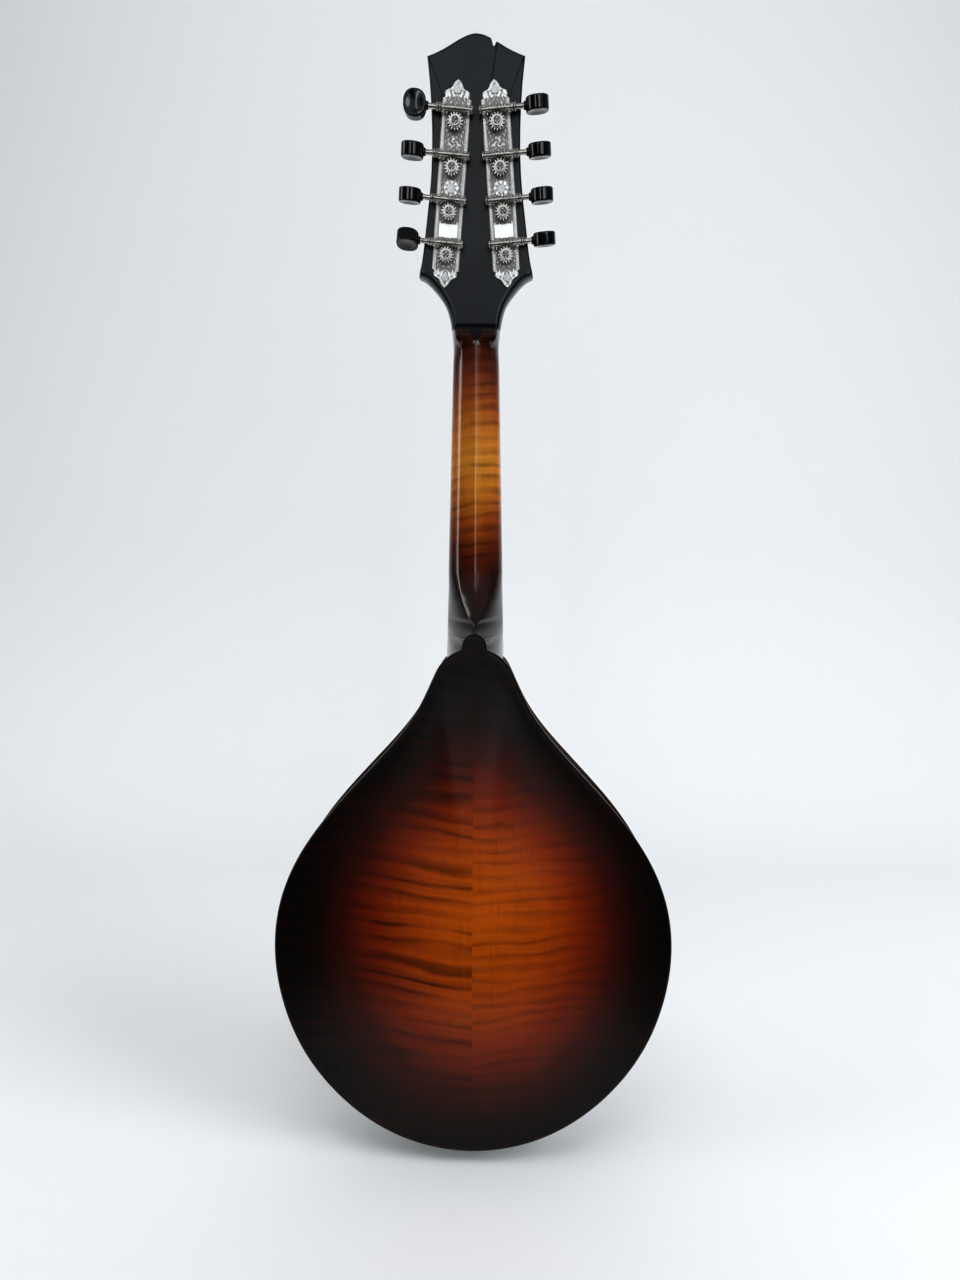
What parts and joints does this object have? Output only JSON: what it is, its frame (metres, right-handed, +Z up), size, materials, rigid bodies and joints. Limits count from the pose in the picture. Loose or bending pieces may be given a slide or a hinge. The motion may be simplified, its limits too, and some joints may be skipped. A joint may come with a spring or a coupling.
{
  "type": "mandolin",
  "caption": "Carved pear-shaped mandolin with f-shaped sound holes, sunburst back, paired strings, adjustable bridge and open worm-gear tuners.",
  "frame": {"origin": "where the end pin seats on the tail rim, midway through the depth of the body's sides", "axes": "+Z up the neck in the plane of the sides, strings face -Y, carved back faces +Y, treble side is +X"},
  "size_m": [0.254, 0.1013, 0.6899],
  "materials": {
    "back_maple": "satin sunburst lacquer over flamed maple",
    "top_spruce": "satin sunburst lacquer over spruce",
    "rib_maple": "gloss black-brown lacquer over maple",
    "neck_maple": "gloss sunburst lacquer, black towards heel and headstock",
    "plain_wood": "bare, unfinished",
    "black_lacquer": "satin black lacquer",
    "ebony": "oiled",
    "ebony_pin": "polished",
    "binding": "aged cream",
    "black_plastic": "gloss",
    "black_gloss": "polished",
    "pearl": "pearly shell",
    "bone": "polished bone",
    "aged_nickel": "antiqued, dark in the recesses",
    "nickel": "polished",
    "steel": "plain",
    "screw_steel": "antiqued",
    "fret_nickel": "polished",
    "brass": "plain",
    "steel_string": "bright",
    "bronze_string": "wound bronze"
  },
  "bodies": {
    "instrument": {"back_plate_bass": "back_maple", "back_plate_treble": "back_maple", "top_plate_bass": "top_spruce", "top_plate_treble": "top_spruce", "rib_bass": "rib_maple", "rib_treble": "rib_maple", "neck_block": "plain_wood", "tail_block": "plain_wood", "linings": "plain_wood", "tone_bars": "plain_wood", "top_binding": "binding", "neck": "neck_maple", "headstock_overlay": "black_lacquer", "fingerboard": "ebony", "frets": "fret_nickel", "position_dots": "pearl", "nut": "bone", "truss_rod": "steel", "truss_rod_cover": "black_plastic", "bridge_base": "ebony", "bridge_posts": "brass", "tailpiece_base": "nickel", "end_pin": "ebony_pin", "tuner_plate_bass": "aged_nickel", "tuner_plate_treble": "aged_nickel", "mounting_screws": "screw_steel", "post_bushings": "nickel", "wound_strings": "bronze_string", "plain_strings": "steel_string"},
    "saddle": {"bridge_saddle": "ebony"},
    "thumbwheel_bass": {"thumbwheel_bass": "brass"},
    "thumbwheel_treble": {"thumbwheel_treble": "brass"},
    "tail_cover": {"tailpiece_cover": "nickel"},
    "rod_nut": {"truss_rod_nut": "brass"},
    "key_bass_1": {"worm_shaft_bass_1": "aged_nickel", "tuner_button_bass_1": "black_gloss"},
    "post_bass_1": {"tuner_post_bass_1": "aged_nickel"},
    "key_bass_2": {"worm_shaft_bass_2": "aged_nickel", "tuner_button_bass_2": "black_gloss"},
    "post_bass_2": {"tuner_post_bass_2": "aged_nickel"},
    "key_bass_3": {"worm_shaft_bass_3": "aged_nickel", "tuner_button_bass_3": "black_gloss"},
    "post_bass_3": {"tuner_post_bass_3": "aged_nickel"},
    "key_bass_4": {"worm_shaft_bass_4": "aged_nickel", "tuner_button_bass_4": "black_gloss"},
    "post_bass_4": {"tuner_post_bass_4": "aged_nickel"},
    "key_treble_1": {"worm_shaft_treble_1": "aged_nickel", "tuner_button_treble_1": "black_gloss"},
    "post_treble_1": {"tuner_post_treble_1": "aged_nickel"},
    "key_treble_2": {"worm_shaft_treble_2": "aged_nickel", "tuner_button_treble_2": "black_gloss"},
    "post_treble_2": {"tuner_post_treble_2": "aged_nickel"},
    "key_treble_3": {"worm_shaft_treble_3": "aged_nickel", "tuner_button_treble_3": "black_gloss"},
    "post_treble_3": {"tuner_post_treble_3": "aged_nickel"},
    "key_treble_4": {"worm_shaft_treble_4": "aged_nickel", "tuner_button_treble_4": "black_gloss"},
    "post_treble_4": {"tuner_post_treble_4": "aged_nickel"}
  },
  "joints": [
    {"name": "saddle_lift", "type": "slide", "parent": "instrument", "child": "saddle", "axis": [0, -1, 0], "range_m": [-0.0012, 0.0012], "deforming": ["wound_strings", "plain_strings"]},
    {"name": "thumbwheel_bass_turn", "type": "hinge", "parent": "saddle", "child": "thumbwheel_bass", "pos_m": [-0.036, -0.04105, 0.17225], "axis": [0, -1, 0], "range_deg": [-541, 541]},
    {"name": "thumbwheel_treble_turn", "type": "hinge", "parent": "saddle", "child": "thumbwheel_treble", "pos_m": [0.036, -0.04105, 0.17225], "axis": [0, -1, 0], "range_deg": [-541, 541]},
    {"name": "tail_cover_slide", "type": "slide", "parent": "instrument", "child": "tail_cover", "axis": [0, 0, 1], "range_m": [0, 0.012]},
    {"name": "truss_nut_turn", "type": "hinge", "parent": "instrument", "child": "rod_nut", "pos_m": [0, 0.00169, 0.53346], "axis": [0, 0.1045, 0.9945], "range_deg": [-180, 180]},
    {"name": "key_bass_1_turn", "type": "hinge", "parent": "instrument", "child": "key_bass_1", "pos_m": [-0.01734, 0.02717, 0.57089], "axis": [-0.9963, 0.0193, 0.0837], "continuous": true},
    {"name": "post_bass_1_turn", "type": "hinge", "parent": "instrument", "child": "post_bass_1", "pos_m": [-0.0179, 0.02123, 0.56562], "axis": [0, 0.9744, -0.225], "continuous": true},
    {"name": "key_bass_2_turn", "type": "hinge", "parent": "instrument", "child": "key_bass_2", "pos_m": [-0.01536, 0.03232, 0.59322], "axis": [-0.9963, 0.0193, 0.0837], "continuous": true},
    {"name": "post_bass_2_turn", "type": "hinge", "parent": "instrument", "child": "post_bass_2", "pos_m": [-0.01592, 0.02638, 0.58795], "axis": [0, 0.9744, -0.225], "continuous": true},
    {"name": "key_bass_3_turn", "type": "hinge", "parent": "instrument", "child": "key_bass_3", "pos_m": [-0.01339, 0.03748, 0.61555], "axis": [-0.9963, 0.0193, 0.0837], "continuous": true},
    {"name": "post_bass_3_turn", "type": "hinge", "parent": "instrument", "child": "post_bass_3", "pos_m": [-0.01395, 0.03154, 0.61027], "axis": [0, 0.9744, -0.225], "continuous": true},
    {"name": "key_bass_4_turn", "type": "hinge", "parent": "instrument", "child": "key_bass_4", "pos_m": [-0.01141, 0.04263, 0.63788], "axis": [-0.9963, 0.0193, 0.0837], "continuous": true},
    {"name": "post_bass_4_turn", "type": "hinge", "parent": "instrument", "child": "post_bass_4", "pos_m": [-0.01197, 0.03669, 0.6326], "axis": [0, 0.9744, -0.225], "continuous": true},
    {"name": "key_treble_1_turn", "type": "hinge", "parent": "instrument", "child": "key_treble_1", "pos_m": [0.01734, 0.02717, 0.57089], "axis": [0.9963, 0.0193, 0.0837], "continuous": true},
    {"name": "post_treble_1_turn", "type": "hinge", "parent": "instrument", "child": "post_treble_1", "pos_m": [0.0179, 0.02123, 0.56562], "axis": [0, 0.9744, -0.225], "continuous": true},
    {"name": "key_treble_2_turn", "type": "hinge", "parent": "instrument", "child": "key_treble_2", "pos_m": [0.01536, 0.03232, 0.59322], "axis": [0.9963, 0.0193, 0.0837], "continuous": true},
    {"name": "post_treble_2_turn", "type": "hinge", "parent": "instrument", "child": "post_treble_2", "pos_m": [0.01592, 0.02638, 0.58795], "axis": [0, 0.9744, -0.225], "continuous": true},
    {"name": "key_treble_3_turn", "type": "hinge", "parent": "instrument", "child": "key_treble_3", "pos_m": [0.01339, 0.03748, 0.61555], "axis": [0.9963, 0.0193, 0.0837], "continuous": true},
    {"name": "post_treble_3_turn", "type": "hinge", "parent": "instrument", "child": "post_treble_3", "pos_m": [0.01395, 0.03154, 0.61027], "axis": [0, 0.9744, -0.225], "continuous": true},
    {"name": "key_treble_4_turn", "type": "hinge", "parent": "instrument", "child": "key_treble_4", "pos_m": [0.01141, 0.04263, 0.63788], "axis": [0.9963, 0.0193, 0.0837], "continuous": true},
    {"name": "post_treble_4_turn", "type": "hinge", "parent": "instrument", "child": "post_treble_4", "pos_m": [0.01197, 0.03669, 0.6326], "axis": [0, 0.9744, -0.225], "continuous": true}
  ],
  "couplings": [
    {"joint": "thumbwheel_bass_turn", "follows": "saddle_lift", "rad_per_m": 7854},
    {"joint": "thumbwheel_treble_turn", "follows": "saddle_lift", "rad_per_m": 7854},
    {"joint": "post_bass_1_turn", "follows": "key_bass_1_turn", "ratio": 0.066667},
    {"joint": "post_bass_2_turn", "follows": "key_bass_2_turn", "ratio": 0.066667},
    {"joint": "post_bass_3_turn", "follows": "key_bass_3_turn", "ratio": 0.066667},
    {"joint": "post_bass_4_turn", "follows": "key_bass_4_turn", "ratio": 0.066667},
    {"joint": "post_treble_1_turn", "follows": "key_treble_1_turn", "ratio": -0.066667},
    {"joint": "post_treble_2_turn", "follows": "key_treble_2_turn", "ratio": -0.066667},
    {"joint": "post_treble_3_turn", "follows": "key_treble_3_turn", "ratio": -0.066667},
    {"joint": "post_treble_4_turn", "follows": "key_treble_4_turn", "ratio": -0.066667}
  ]
}
